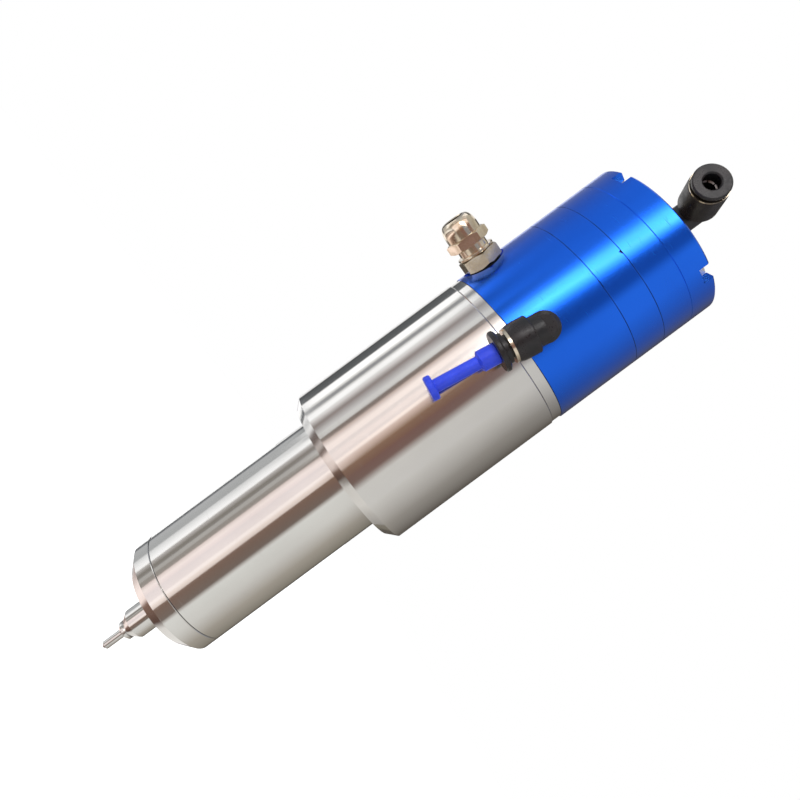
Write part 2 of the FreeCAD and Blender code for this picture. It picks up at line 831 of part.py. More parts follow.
def elbow_shell(elbow):
    """Moulded elbow: flat-topped column, and the thicker head that takes the tube."""
    start = elbow["flange"] + run_gap
    column = elbow["column"]
    head = elbow["head"]
    mouth = elbow["mouth"]
    shoulder = elbow["shoulder"]
    step = (head - column) * head_step_share
    top = elbow["rise"] + elbow_top
    shape = turned([
        (0, start), (column, start), (column, top - elbow_top_chamfer),
        (column - elbow_top_chamfer, top), (0, top),
    ])
    shape = shape.fuse(along_head([
        (0, 0), (column, 0), (column, shoulder), (head - step / 2, shoulder),
        (head, shoulder + step / 2), (head, mouth - 2 * edge_break),
        (head - 2 * edge_break, mouth), (0, mouth),
    ], elbow))
    pocket_top = elbow["flange"] + elbow["neck"] + run_gap
    shape = shape.cut(rod(stem_neck_radius + slide_gap, start, pocket_top))
    shape = shape.cut(rod(stem_bore, start, elbow["rise"]))
    bore = tube_radius + tube_gap
    return shape.cut(along_head([
        (0, 0), (stem_bore, 0), (stem_bore, elbow["tube_stop"]), (bore, elbow["tube_stop"]),
        (bore, mouth - grip_depth), (grip_bore_radius, mouth - grip_depth),
        (grip_bore_radius, mouth), (0, mouth),
    ], elbow)).removeSplitter()


def elbow_seal(elbow):
    """Seal round the tube, at the bottom of the grip bore."""
    start = elbow["mouth"] - grip_depth
    inner = tube_radius + tube_gap
    return along_head([
        (inner, start), (grip_bore_radius, start),
        (grip_bore_radius, start + grip_seal_height), (inner, start + grip_seal_height),
    ], elbow)


def elbow_teeth(elbow):
    """Thin cone of grip teeth that leans into the elbow."""
    rear = elbow["mouth"] - teeth_depth
    inner = tube_radius + tube_gap
    cone = along_head([
        (inner, rear - teeth_lean - teeth_thickness),
        (grip_bore_radius, rear - teeth_thickness),
        (grip_bore_radius, rear), (inner, rear - teeth_lean),
    ], elbow)
    reach = grip_bore_radius - 2 * teeth_slit
    slit = Part.makeBox(grip_depth, teeth_slit, reach,
                        Vec(rear - grip_depth / 2, -teeth_slit / 2, elbow["rise"]))
    for number in range(teeth_count):
        tool = slit.copy()
        tool.rotate(Vec(0, 0, elbow["rise"]), Vec(1, 0, 0), FULL_TURN / teeth_count * number)
        cone = cone.cut(tool)
    return cone


def elbow_cartridge(elbow):
    """Thin metal ring on the mouth, with a skirt pressed into the grip bore."""
    mouth = elbow["mouth"]
    inner = grip_bore_radius - cartridge_wall
    return along_head([
        (inner, mouth - cartridge_skirt), (grip_bore_radius, mouth - cartridge_skirt),
        (grip_bore_radius, mouth), (elbow["ring"], mouth),
        (elbow["ring"], mouth + elbow["ring_width"]), (inner, mouth + elbow["ring_width"]),
    ], elbow)


def elbow_collar(elbow):
    """Release collar: push it in and the teeth let go of the tube."""
    mouth = elbow["mouth"]
    back = mouth + elbow["ring_width"] + elbow["collar_gap"]
    face = back + collar_thickness
    skirt = grip_bore_radius - cartridge_wall - run_gap
    bore = tube_radius + tube_gap
    round_off = collar_thickness / 4
    skirt_end = mouth - teeth_depth + collar_travel + 2 * slide_gap
    neck_end = mouth + elbow["ring_width"] + collar_travel + 2 * slide_gap
    return along_head([
        (bore, skirt_end), (skirt, skirt_end), (skirt, neck_end),
        (collar_neck_radius, neck_end), (collar_neck_radius, back),
        (elbow["collar"] - round_off, back), (elbow["collar"], back + round_off),
        (elbow["collar"], face - round_off), (elbow["collar"] - round_off, face),
        (bore + round_off, face), (bore, face - round_off),
    ], elbow)


def blanking_plug(elbow):
    """Plug with a stem of the tube's size, a sleeve, a thin rod and a pull flange."""
    face = elbow["mouth"] + elbow["ring_width"] + elbow["collar_gap"] + collar_thickness
    start = face + 2 * slide_gap
    sleeve_end = start + plug_sleeve_length
    rod_end = sleeve_end + plug_rod_length
    end = rod_end + plug_flange_length
    foot = elbow["tube_stop"] + 2 * slide_gap
    round_off = plug_chamfer / 2
    return along_head([
        (0, foot), (tube_radius - round_off, foot), (tube_radius, foot + round_off),
        (tube_radius, start), (plug_sleeve_radius, start),
        (plug_sleeve_radius, sleeve_end - plug_chamfer), (plug_rod_radius, sleeve_end),
        (plug_rod_radius, rod_end), (plug_flange_radius - round_off, rod_end),
        (plug_flange_radius, rod_end + round_off), (plug_flange_radius, end - round_off),
        (plug_flange_radius - round_off, end), (0, end),
    ], elbow)


def side_point():
    """Middle of the side elbow's seat."""
    return outward(0) * side_elbow["seat"] + Vec(0, 0, side_stem_z)


def on_side(shape):
    """Side elbow piece moved to its place, the head towards the nose."""
    turn = math.radians(side_head_turn)
    return placed(shape, side_point(), outward(0), Vec(-math.sin(turn), 0, -math.cos(turn)))


def on_rear(shape):
    """Rear elbow piece moved to the middle of the cover."""
    return placed(shape, Vec(0, 0, cover_rear), AXIS, outward(rear_head_turn))


def side_stem():
    """Side stem, with a flat of its hexagon across the spindle's axis."""
    return placed(elbow_stem(side_elbow, 30), side_point(), outward(0), AXIS)


def side_seal():
    """Seal ring sunk in the housing under the side stem."""
    shape = ring(thread_radius, side_seal_radius, -side_seal_height, 0)
    return placed(shape, side_point(), outward(0), AXIS)


nodes = {
    "motor_barrel": motor_barrel(),
    "front_sleeve": front_sleeve(),
    "front_cap": front_cap(),
    "cap_seal": cap_seal(),
    "bearing_plate": bearing_plate(),
    "bearing_carrier": bearing_carrier(),
    "preload_springs": cone_washers(
        carrier_lip_radius + 1, carrier_radius - 1, rear_bearing_end + carrier_lip,
        2, preload_length / 2, disc_thickness),
    "connector_housing": connector_housing(),
    "guide_ring": guide_ring(),
    "rod_seal": rod_seal(),
    "cylinder_ring": cylinder_ring(),
    "rear_ring": rear_ring(),
    "rear_cover": rear_cover(),
    "cover_screws": cover_screws(),
    "tie_screws": tie_screws(),
    "stator_core": stator_core(),
    "windings": windings(),
    "outer_rings": outer_rings(),
    "outer_spacer": ring(outer_race, bearing_outer, first_bearing_rear, second_bearing_start),
    "gland_seal": gland_placed(gland_seal()),
    "gland_body": gland_placed(gland_body()),
    "gland_insert": gland_placed(gland_insert()),
    "gland_nut": gland_placed(gland_nut()),
    "side_stem": side_stem(),
    "side_seal": side_seal(),
    "rear_stem": on_rear(elbow_stem(rear_elbow, 0)),
    "return_spring": return_spring(),
    "shaft": shaft(),
    "slinger": slinger(),
    "inner_rings": inner_rings(),
    "inner_spacer": ring(bearing_bore, inner_race, first_bearing_rear, second_bearing_start),
    "rotor_core": rotor_core(),
    "balance_rings": balance_rings(),
    "rotor_nut": rotor_nut(),
    "disc_springs": cone_washers(
        disc_inner, disc_outer, shaft_end, disc_count, disc_height, disc_thickness),
    "drawbar": drawbar(),
    "drawbar_nut": drawbar_nut(),
    "collet": collet(),
    "tool_pin": tool_pin(),
    "piston": piston(),
    "piston_seal": piston_seal(),
    "side_shell": on_side(elbow_shell(side_elbow)),
    "side_grip_seal": on_side(elbow_seal(side_elbow)),
    "side_teeth": on_side(elbow_teeth(side_elbow)),
    "side_cartridge": on_side(elbow_cartridge(side_elbow)),
    "side_collar": on_side(elbow_collar(side_elbow)),
    "side_plug": on_side(blanking_plug(side_elbow)),
    "rear_shell": on_rear(elbow_shell(rear_elbow)),
    "rear_grip_seal": on_rear(elbow_seal(rear_elbow)),
    "rear_teeth": on_rear(elbow_teeth(rear_elbow)),
    "rear_cartridge": on_rear(elbow_cartridge(rear_elbow)),
    "rear_collar": on_rear(elbow_collar(rear_elbow)),
}

os.makedirs("parts", exist_ok=True)
for name, shape in nodes.items():
    if isinstance(shape, list):
        shape = Part.makeCompound(shape)
    shape.exportStep("parts/" + name + ".step")
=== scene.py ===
import json
import math

import bmesh
import bpy
from mathutils import Matrix, Vector


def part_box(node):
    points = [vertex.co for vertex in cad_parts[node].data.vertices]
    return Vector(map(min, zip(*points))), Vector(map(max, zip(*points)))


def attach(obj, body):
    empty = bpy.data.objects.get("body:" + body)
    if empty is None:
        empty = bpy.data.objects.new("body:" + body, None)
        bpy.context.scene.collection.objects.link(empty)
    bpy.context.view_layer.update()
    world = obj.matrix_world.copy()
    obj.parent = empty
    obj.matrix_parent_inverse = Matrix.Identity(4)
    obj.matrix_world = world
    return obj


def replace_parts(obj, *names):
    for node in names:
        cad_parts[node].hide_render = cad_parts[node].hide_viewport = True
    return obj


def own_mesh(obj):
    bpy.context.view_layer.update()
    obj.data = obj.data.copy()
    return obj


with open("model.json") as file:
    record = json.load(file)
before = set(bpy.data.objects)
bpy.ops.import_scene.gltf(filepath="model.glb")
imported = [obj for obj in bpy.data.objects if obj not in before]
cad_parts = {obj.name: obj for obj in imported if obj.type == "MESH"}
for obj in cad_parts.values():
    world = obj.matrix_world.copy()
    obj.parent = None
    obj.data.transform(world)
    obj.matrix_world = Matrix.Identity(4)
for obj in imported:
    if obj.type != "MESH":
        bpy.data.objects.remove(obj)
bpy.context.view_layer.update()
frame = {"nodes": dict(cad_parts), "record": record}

MM = 0.001
WELD = 0.001 * MM
SHARP_ANGLE = math.radians(35)
HEX_CORNER_BREAK = 0.6


# Small helpers for the node materials

# Sockets of the Mix node for its share, its two colours and its result
MIX_SHARE = 0
MIX_FIRST = 6
MIX_SECOND = 7
MIX_RESULT = 2


def new_material(name):
    """Empty material with its tree and its Principled shader."""
    material = bpy.data.materials.new(name)
    material.use_nodes = True
    return material, material.node_tree, material.node_tree.nodes["Principled BSDF"]


def noise(tree, scale, stretch=(1, 1, 1), detail=3.0):
    """Noise in the piece's own space, in cells per metre, stretched along its axes."""
    place = tree.nodes.new("ShaderNodeTexCoord")
    mapping = tree.nodes.new("ShaderNodeMapping")
    mapping.inputs["Scale"].default_value = stretch
    texture = tree.nodes.new("ShaderNodeTexNoise")
    texture.inputs["Scale"].default_value = scale
    texture.inputs["Detail"].default_value = detail
    tree.links.new(place.outputs["Object"], mapping.inputs["Vector"])
    tree.links.new(mapping.outputs["Vector"], texture.inputs["Vector"])
    return texture.outputs["Fac"]


def spread(tree, value, low, high, out_low, out_high):
    """Value mapped from one range to another, and held at its ends."""
    node = tree.nodes.new("ShaderNodeMapRange")
    ends = {"From Min": low, "From Max": high, "To Min": out_low, "To Max": out_high}
    for name, number in ends.items():
        node.inputs[name].default_value = number
    tree.links.new(value, node.inputs["Value"])
    return node.outputs["Result"]


def combined(tree, first, second, operation="ADD"):
    """Two values joined by one operation, which is their sum unless another is named."""
    node = tree.nodes.new("ShaderNodeMath")
    node.operation = operation
    tree.links.new(first, node.inputs[0])
    tree.links.new(second, node.inputs[1])
    return node.outputs["Value"]


def two_tone(tree, share, first, second):
    """Colour between two tones."""
    node = tree.nodes.new("ShaderNodeMix")
    node.data_type = "RGBA"
    node.inputs[MIX_FIRST].default_value = (*first, 1)
    node.inputs[MIX_SECOND].default_value = (*second, 1)
    tree.links.new(share, node.inputs[MIX_SHARE])
    return node.outputs[MIX_RESULT]


def paint(tree, shader, share, light, dark):
    """Base colour between two tones."""
    tree.links.new(two_tone(tree, share, light, dark), shader.inputs["Base Color"])


def polish(tree, shader, wear, smooth, rough):
    """Roughness from smooth to rough, by two noises added together."""
    tree.links.new(spread(tree, wear, 0.7, 1.3, smooth, rough), shader.inputs["Roughness"])


def relief(tree, height, depth):
    """Normal for a relief of that depth in metres."""
    node = tree.nodes.new("ShaderNodeBump")
    node.inputs["Distance"].default_value = depth
    tree.links.new(height, node.inputs["Height"])
    return node.outputs["Normal"]


# Materials, one for each slot of the record

MARK_DEPTH = 0.0000003
MARK_ROUGHNESS = 0.006
SCRATCH_ROUGHNESS = 0.10
STRAND_DEPTH = 0.0002
COAT_ROUGHNESS = 0.12
QUARTER_TURN = 0.25
GRAIN_SCALE = 14


def turned_metal(name, light, dark, smooth, rough, anisotropy, coat=0.0, metallic=1.0):
    """Metal with turning marks round the Z axis, which draw highlights out along it."""
    material, tree, shader = new_material(name)
    link = tree.links.new
    marks = noise(tree, scale=60, stretch=(1, 1, 60), detail=4)
    smudges = noise(tree, scale=38, stretch=(1, 1, 0.6), detail=5)
    stains = noise(tree, scale=16, stretch=(1, 1, 0.35), detail=4)
    scratches = noise(tree, scale=150, stretch=(1, 1, 9), detail=2)
    scratches = spread(tree, scratches, 0.70, 0.74, 0, SCRATCH_ROUGHNESS)
    paint(tree, shader, spread(tree, combined(tree, stains, smudges), 0.75, 1.25, 0, 1), light, dark)
    wear = combined(tree, spread(tree, smudges, 0.35, 0.7, smooth, rough), scratches)
    ripple = spread(tree, marks, 0.3, 0.7, -MARK_ROUGHNESS, MARK_ROUGHNESS)
    link(combined(tree, wear, ripple), shader.inputs["Roughness"])
    link(relief(tree, marks, MARK_DEPTH), shader.inputs["Normal"])
    tangent = tree.nodes.new("ShaderNodeTangent")
    tangent.direction_type = "RADIAL"
    tangent.axis = "Z"
    link(tangent.outputs["Tangent"], shader.inputs["Tangent"])
    shader.inputs["Metallic"].default_value = metallic
    shader.inputs["Anisotropic"].default_value = anisotropy
    shader.inputs["Anisotropic Rotation"].default_value = QUARTER_TURN
    shader.inputs["Coat Weight"].default_value = coat
    shader.inputs["Coat Roughness"].default_value = COAT_ROUGHNESS
    return material


def plain_metal(name, light, dark, smooth, rough, scale=120, depth=0.000004):
    """Plated or hardened metal with a fine uneven surface."""
    material, tree, shader = new_material(name)
    patches = noise(tree, scale, detail=4)
    grain = noise(tree, scale * GRAIN_SCALE, detail=2)
    paint(tree, shader, spread(tree, patches, 0.35, 0.65, 0, 1), light, dark)
    polish(tree, shader, combined(tree, patches, grain), smooth, rough)
    tree.links.new(relief(tree, grain, depth), shader.inputs["Normal"])
    shader.inputs["Metallic"].default_value = 1.0
    return material


def moulded(name, light, dark, smooth, rough, grain_scale=2600, depth=0.000006, specular=0.5):
    """Moulded plastic or rubber with a fine grain and faint handling marks."""
    material, tree, shader = new_material(name)
    patches = noise(tree, scale=180, detail=4)
    grain = noise(tree, grain_scale, detail=2)
    paint(tree, shader, spread(tree, patches, 0.35, 0.7, 0, 1), light, dark)
    polish(tree, shader, combined(tree, patches, grain), smooth, rough)
    tree.links.new(relief(tree, grain, depth), shader.inputs["Normal"])
    shader.inputs["Specular IOR Level"].default_value = specular
    return material


def wound_wire(name):
    """Enamelled copper wire, in strands laid round the axis."""
    material, tree, shader = new_material(name)
    link = tree.links.new
    strands = noise(tree, scale=120, stretch=(1, 1, 12), detail=2)
    paint(tree, shader, spread(tree, strands, 0.35, 0.65, 0, 1), (0.62, 0.26, 0.10), (0.34, 0.12, 0.05))
    link(spread(tree, strands, 0.3, 0.7, 0.25, 0.45), shader.inputs["Roughness"])
    link(relief(tree, strands, STRAND_DEPTH), shader.inputs["Normal"])
    shader.inputs["Metallic"].default_value = 0.8
    return material


looks = {
    "ground_steel": turned_metal("look_ground_steel", (0.69, 0.675, 0.65), (0.61, 0.595, 0.57),
                                 0.11, 0.16, 0.8),
    "blue_anodised": turned_metal("look_blue_anodised", (0.012, 0.150, 0.86), (0.010, 0.130, 0.78),
                                  0.19, 0.25, 0.6, coat=0.20),
    "bare_aluminium": turned_metal("look_bare_aluminium", (0.70, 0.65, 0.55), (0.62, 0.57, 0.47),
                                   0.36, 0.48, 0.4, metallic=0.4),
    "nickel_brass": plain_metal("look_nickel_brass", (0.80, 0.71, 0.58), (0.62, 0.52, 0.39),
                                0.10, 0.20, scale=260),
    "black_plastic": moulded("look_black_plastic", (0.016, 0.012, 0.013), (0.007, 0.0075, 0.009),
                             0.22, 0.46, grain_scale=1500, depth=0.000022, specular=0.38),
    "blue_plastic": moulded("look_blue_plastic", (0.022, 0.060, 0.72), (0.014, 0.042, 0.60),
                            0.28, 0.42, specular=0.35),
    "black_rubber": moulded("look_black_rubber", (0.012, 0.012, 0.012), (0.020, 0.020, 0.020),
                            0.60, 0.80, depth=0.00001, specular=0.12),
    "copper_winding": wound_wire("look_copper_winding"),
    "core_steel": plain_metal("look_core_steel", (0.30, 0.30, 0.32), (0.22, 0.22, 0.24),
                              0.35, 0.5),
    "spring_steel": plain_metal("look_spring_steel", (0.42, 0.41, 0.40), (0.32, 0.31, 0.31),
                                0.25, 0.38),
    "bearing_steel": plain_metal("look_bearing_steel", (0.70, 0.70, 0.71), (0.62, 0.62, 0.63),
                                 0.12, 0.22),
    "dark_screw": plain_metal("look_dark_screw", (0.09, 0.09, 0.10), (0.05, 0.05, 0.055),
                              0.32, 0.45),
}
slot_of_node = {part["node"]: part["material_slot"] for part in frame["record"]["subparts"]}
for name, node in frame["nodes"].items():
    node.data.materials.clear()
    node.data.materials.append(looks[slot_of_node[name]])


# Pieces that only the looks need

def lathe(name, outline, point, stem, side=None, start=0.0, segments=96):
    """Closed body turned about the line through point along stem, from corners (radius, height)
    in millimetres. A corner that changes round the body is a function of the angle from side."""
    stem = Vector(stem).normalized()
    side = Vector(side).normalized() if side else stem.orthogonal().normalized()
    across = stem.cross(side)
    shape = bmesh.new()
    rows = []
    for corner in outline:
        row = []
        for k in range(segments):
            turn = start + 2 * math.pi * k / segments
            radius, height = corner(turn) if callable(corner) else corner
            outward = side * math.cos(turn) + across * math.sin(turn)
            row.append(shape.verts.new(Vector(point) * MM + (stem * height + outward * radius) * MM))
        rows.append(row)
    for low, high in zip(rows, rows[1:] + rows[:1]):
        for k in range(segments):
            after = (k + 1) % segments
            shape.faces.new((low[k], low[after], high[after], high[k]))
    bmesh.ops.remove_doubles(shape, verts=shape.verts, dist=WELD)
    return finished(name, shape)


def finished(name, shape):
    """Object from its mesh, smooth but for its edges."""
    bmesh.ops.recalc_face_normals(shape, faces=shape.faces)
    mesh = bpy.data.meshes.new(name)
    shape.to_mesh(mesh)
    shape.free()
    mesh.shade_smooth()
    mesh.set_sharp_from_angle(angle=SHARP_ANGLE)
    piece = bpy.data.objects.new(name, mesh)
    bpy.context.scene.collection.objects.link(piece)
    return piece


def hexagon(flats, low, high, turn):
    """Outline corners of a nut whose own corners are turned off, the first of them at turn."""
    flat = flats / 2
    corner = flats / math.sqrt(3)
    drop = (corner - flat) * HEX_CORNER_BREAK

    def reach(angle):
        return flat / math.cos((angle - turn) % (math.pi / 3) - math.pi / 6)

    def near(angle):
        return reach(angle), low + drop * (reach(angle) - flat) / (corner - flat)

    def far(angle):
        return reach(angle), high - drop * (reach(angle) - flat) / (corner - flat)

    return [(flat, low), near, far, (flat, high)]


def dress(piece, body, slot):
    """Piece put on its body, with the look of its slot."""
    piece.data.materials.append(looks[slot])
    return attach(piece, body)


# Dark lines at the joints between the rings. The sizes of all the pieces are in millimetres.
AXIS = Vector((0, 0, 1))
BODY_R = 31.0
NOSE_R = 22.0
BREAK = 0.3
JOINT_BREAK = 0.15
PLATE_RELIEF = 0.4
BARREL_REAR = 34.0
PLATE_REAR = 38.0
HOUSING_REAR = 70.5
GUIDE_REAR = 82.5
CAP_REAR = -107.5
LINE_HALF = 0.05
LINE_HEIGHT = 0.08
RING_SEGMENTS = 160
for name, z, root in (
    ("line_barrel_plate", BARREL_REAR, BODY_R - JOINT_BREAK - PLATE_RELIEF),
    ("line_plate_housing", PLATE_REAR, BODY_R - JOINT_BREAK - PLATE_RELIEF),
    ("line_housing_guide", HOUSING_REAR, BODY_R - JOINT_BREAK),
    ("line_guide_cylinder", GUIDE_REAR, BODY_R - JOINT_BREAK),
    ("line_sleeve_cap", CAP_REAR, NOSE_R - BREAK),
):
    line = lathe(name, [
        (root - BREAK, z - LINE_HALF), (root + LINE_HEIGHT, z - LINE_HALF),
        (root + LINE_HEIGHT, z + LINE_HALF), (root - BREAK, z + LINE_HALF),
    ], (0, 0, 0), AXIS, segments=RING_SEGMENTS)
    dress(line, "spindle", "black_rubber")


def outward(angle):
    """Direction away from the axis, at an angle from -Y towards +X."""
    turn = math.radians(angle)
    return Vector((math.sin(turn), -math.cos(turn), 0))


# Cable gland, finer than its solids: a thin lip over the lower hexagon, and a slimmer dome
GLAND_SEAT_DEPTH = 1.5
GLAND_FROM_PLATE = 10.5
GLAND_SEAT = BODY_R - GLAND_SEAT_DEPTH
GLAND_STEM = outward(-76)
GLAND_POINT = GLAND_STEM * GLAND_SEAT + AXIS * (PLATE_REAR + GLAND_FROM_PLATE)
GLAND_FLATS = 14.0
GLAND_HEX_TURN = math.radians(-28)
GLAND_NUT_TURN = math.radians(-10)
GLAND_SEAL_TOP = 0.9
GLAND_HEX_TOP = 6.0
GLAND_LIP_R = 7.1
GLAND_LIP_LOW = 6.4
GLAND_LIP_TOP = 7.1
GLAND_THREAD_R = 6.0
GLAND_THREAD_END = -4.5
GLAND_NECK_R = 5.6
GLAND_BORE_R = 4.0
GLAND_BUSH_R = 4.6
GLAND_NUT_LOW = 9.7
GLAND_NUT_STEP = 13.6
GLAND_SHOULDER = 16.0
GLAND_TOP = 20.7
GLAND_DOME_R = 6.6
GLAND_RIM_R = 4.1
GLAND_MOUTH_R = 3.6
GLAND_MOUTH_DEPTH = 2.0
DOME_STEPS = 10
SEAT_RING_INNER = 8.4
SEAT_RING_OUTER = 9.75
SEAT_RING_FOOT = -0.6
SEAT_RING_LIFT = 0.01
SEAT_RING_SKIN = BODY_R + 0.004


def make_gland_body():
    """Threaded body: hexagon, lip and neck."""
    outline = [(GLAND_BORE_R, GLAND_THREAD_END), (GLAND_THREAD_R, GLAND_THREAD_END),
               (GLAND_THREAD_R, GLAND_SEAL_TOP)]
    outline += hexagon(GLAND_FLATS, GLAND_SEAL_TOP, GLAND_HEX_TOP, GLAND_HEX_TURN)
    outline += [
        (GLAND_NECK_R, GLAND_HEX_TOP), (GLAND_NECK_R, GLAND_LIP_LOW),
        (GLAND_LIP_R, GLAND_LIP_LOW), (GLAND_LIP_R, GLAND_LIP_TOP - BREAK / 2),
        (GLAND_LIP_R - BREAK / 2, GLAND_LIP_TOP), (GLAND_NECK_R, GLAND_LIP_TOP),
        (GLAND_NECK_R, GLAND_NUT_STEP), (GLAND_BUSH_R, GLAND_NUT_STEP),
        (GLAND_BUSH_R, GLAND_NUT_LOW), (GLAND_BORE_R, GLAND_NUT_LOW),
    ]
    piece = lathe("gland_body_fine", outline, GLAND_POINT, GLAND_STEM, AXIS, GLAND_HEX_TURN)
    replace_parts(dress(piece, "spindle", "nickel_brass"), "gland_body")


def make_gland_nut():
    """Domed nut: hexagon below, round dome above, open for the cable."""
    outline = [(GLAND_NECK_R, GLAND_NUT_LOW)]
    outline += hexagon(GLAND_FLATS, GLAND_NUT_LOW, GLAND_NUT_STEP, GLAND_NUT_TURN)
    outline.append((GLAND_DOME_R, GLAND_NUT_STEP))
    for step in range(DOME_STEPS + 1):
        bend = math.pi / 2 * step / DOME_STEPS
        outline.append((
            GLAND_RIM_R + (GLAND_DOME_R - GLAND_RIM_R) * math.cos(bend),
            GLAND_SHOULDER + (GLAND_TOP - GLAND_SHOULDER) * math.sin(bend),
        ))
    outline += [
        (GLAND_MOUTH_R, GLAND_TOP - BREAK), (GLAND_MOUTH_R, GLAND_TOP - GLAND_MOUTH_DEPTH),
        (GLAND_NECK_R, GLAND_NUT_STEP),
    ]
    piece = lathe("gland_nut_fine", outline, GLAND_POINT, GLAND_STEM, AXIS, GLAND_NUT_TURN)
    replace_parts(dress(piece, "spindle", "nickel_brass"), "gland_nut")


def make_gland_seat():
    """Blue ring that narrows the spot face under the gland to the width of the photograph's."""
    def surface(radius):
        def corner(angle):
            across = radius * math.sin(angle)
            height = math.sqrt(SEAT_RING_SKIN ** 2 - across ** 2) - GLAND_SEAT
            return radius, max(SEAT_RING_FOOT + SEAT_RING_LIFT, height)
        return corner

    piece = lathe("gland_seat_ring", [
        (SEAT_RING_INNER, SEAT_RING_FOOT), surface(SEAT_RING_INNER),
        surface((SEAT_RING_INNER + SEAT_RING_OUTER) / 2), surface(SEAT_RING_OUTER),
        (SEAT_RING_OUTER, SEAT_RING_FOOT),
    ], GLAND_POINT, GLAND_STEM, AXIS, segments=RING_SEGMENTS)
    dress(piece, "spindle", "blue_anodised")


# Moulded elbows, finer than their solids: the head narrows in a curve to the metal ring
STEM_BORE = 2.0
STEM_NECK_R = 3.6
GRIP_BORE_R = 4.6
GRIP_DEPTH = 5.0
TUBE_BORE_R = 3.05
RUN_GAP = 0.08
COLUMN_R = 5.3
COLUMN_TOP = 3.6
COLUMN_BEVEL = 1.5
HEAD_TAPER = 3.4
HEAD_STEP_SHARE = 0.7
SWELL_SHARE = 0.8
SIDE_STEM_FROM_PLATE = 6.7
SIDE_STEM_FLATS = 9.7
SIDE_THREAD_R = 4.8
SIDE_THREAD_END = -5.2
SIDE_HEAD_TURN = math.radians(8)
SIDE_POINT = outward(0) * BODY_R + AXIS * (PLATE_REAR + SIDE_STEM_FROM_PLATE)
SIDE_HEAD = Vector((-math.sin(SIDE_HEAD_TURN), 0, -math.cos(SIDE_HEAD_TURN)))
SIDE_ELBOW = {"flange": 2.4, "neck": 3.2, "rise": 10.0, "shoulder": 3.65, "head": 6.5, "ring": 5.9,
              "mouth": 11.4, "stop": 3.0}
COVER_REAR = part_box("rear_cover")[1][2] / MM
REAR_POINT = AXIS * COVER_REAR
REAR_HEAD = outward(-12)
REAR_ELBOW = {"flange": 3.0, "neck": 6.0, "rise": 21.0, "shoulder": 5.0, "head": 7.19, "ring": 6.9,
              "mouth": 20.2, "stop": 8.3}

# Rim of the rear cover, and painted shade for the nick in the guide ring
COVER_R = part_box("rear_cover")[1][0] / MM
RIM_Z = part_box("rear_ring")[1][2] / MM
COVER_RIM_GAP = 0.02
COVER_RIM_WIDTH = 0.6
COVER_RIM_INSET = 0.3
COVER_RIM_BEVEL = 0.1
NICK_SHADE_CORNERS = ((-9.4, 82.4), (-6.2, 82.4), (-8.8, 81.6))


def make_elbow_shell(node, body, point, stem, head_way, size):
    """Flat-topped column, and the head with its grip bore."""
    start = size["flange"] + RUN_GAP
    pocket = size["flange"] + size["neck"] + RUN_GAP
    top = size["rise"] + COLUMN_TOP
    column = lathe(node + "_column", [
        (STEM_NECK_R + RUN_GAP, start), (COLUMN_R, start), (COLUMN_R, top - COLUMN_BEVEL),
        (COLUMN_R - COLUMN_BEVEL, top), (0, top), (0, size["rise"]), (STEM_BORE, size["rise"]),
        (STEM_BORE, pocket), (STEM_NECK_R + RUN_GAP, pocket),
    ], point, stem)
    head, mouth, shoulder = size["head"], size["mouth"], size["shoulder"]
    step = (head - COLUMN_R) * HEAD_STEP_SHARE
    lip = size["ring"] + BREAK / 2
    swell = lip + (head - lip) * SWELL_SHARE
    barrel = lathe(node + "_head", [
        (STEM_BORE, 0), (COLUMN_R, 0), (COLUMN_R, shoulder), (head - step / 2, shoulder),
        (head, shoulder + step / 2), (head, mouth - HEAD_TAPER), (swell, mouth - HEAD_TAPER / 2),
        (lip, mouth), (GRIP_BORE_R, mouth), (GRIP_BORE_R, mouth - GRIP_DEPTH),
        (TUBE_BORE_R, mouth - GRIP_DEPTH), (TUBE_BORE_R, size["stop"]), (STEM_BORE, size["stop"]),
    ], point + stem * size["rise"], head_way)
    for piece in (column, barrel):
        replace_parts(dress(piece, body, "black_plastic"), node)


def make_side_stem():
    """Slim hexagon of the side stem, which the elbow's column hides in the photograph."""
    outline = [(STEM_BORE, SIDE_THREAD_END), (SIDE_THREAD_R, SIDE_THREAD_END), (SIDE_THREAD_R, 0)]
    outline += hexagon(SIDE_STEM_FLATS, 0, SIDE_ELBOW["flange"], 0)
    top = SIDE_ELBOW["flange"] + SIDE_ELBOW["neck"]
    outline += [(STEM_NECK_R, SIDE_ELBOW["flange"]), (STEM_NECK_R, top), (STEM_BORE, top)]
    piece = lathe("side_stem_slim", outline, SIDE_POINT, outward(0), AXIS)
    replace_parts(dress(piece, "spindle", "nickel_brass"), "side_stem")


def make_cover_rim():
    """Raised rim of the aluminium cover, which shows in the spanner slots."""
    outer = COVER_R - COVER_RIM_GAP
    inner = outer - COVER_RIM_WIDTH
    low = COVER_REAR - BREAK
    high = RIM_Z - COVER_RIM_INSET
    rim = lathe("cover_rim", [
        (inner, low), (outer, low), (outer, high - COVER_RIM_BEVEL),
        (outer - COVER_RIM_BEVEL, high), (inner, high),
    ], (0, 0, 0), AXIS, segments=RING_SEGMENTS)
    dress(rim, "spindle", "bare_aluminium")


def make_painted_nick_shade():
    """Painted shade of a small nick in the edge of the guide ring: a dark piece from the angle and
    height of its corners.
    """
    shape = bmesh.new()

    def row(radius):
        return [shape.verts.new((outward(a) * radius + AXIS * z) * MM) for a, z in NICK_SHADE_CORNERS]

    inner = row(BODY_R - BREAK)
    outer = row(BODY_R + LINE_HALF)
    shape.faces.new(inner)
    shape.faces.new(outer)
    for k in range(len(NICK_SHADE_CORNERS)):
        after = (k + 1) % len(NICK_SHADE_CORNERS)
        shape.faces.new((inner[k], inner[after], outer[after], outer[k]))
    # The dark rubber look paints the shade inside the nick
    dress(finished("guide_nick_painted_shade", shape), "spindle", "black_rubber")


